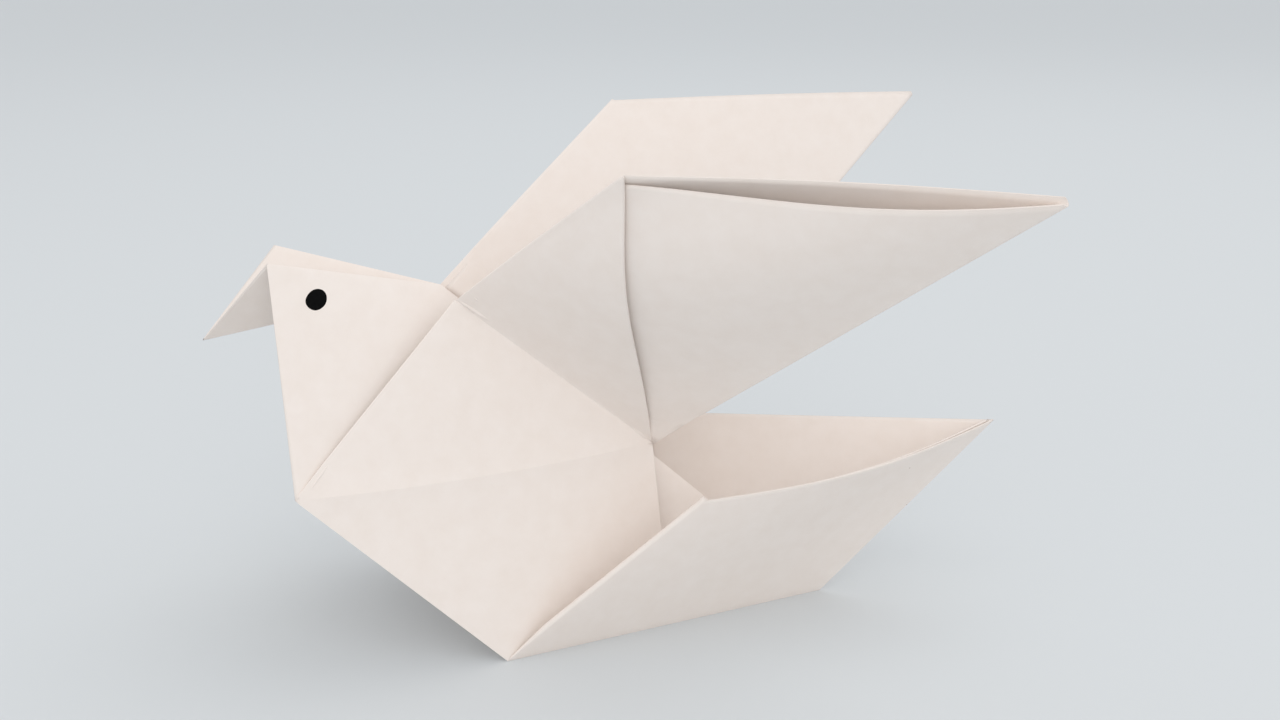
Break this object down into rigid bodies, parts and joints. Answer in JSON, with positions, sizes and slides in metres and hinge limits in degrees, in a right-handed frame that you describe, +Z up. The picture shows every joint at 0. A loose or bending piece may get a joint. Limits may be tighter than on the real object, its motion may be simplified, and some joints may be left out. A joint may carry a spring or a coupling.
{
  "type": "origami dove",
  "caption": "Dove folded from one square sheet of white paper, with raised wings, a turned-down beak and a boat-shaped tail it stands on.",
  "frame": {"origin": "middle of the bounding box in plan, on the surface the dove stands on", "axes": "+X from beak to tail, +Y across the wings towards the side away from the viewer, +Z up"},
  "size_m": [0.1198, 0.0826, 0.0752],
  "materials": {
    "white_paper": "matte uncoated paper, white on both sides"
  },
  "bodies": {
    "root": {"folded_sheet": "white_paper"}
  },
  "joints": []
}
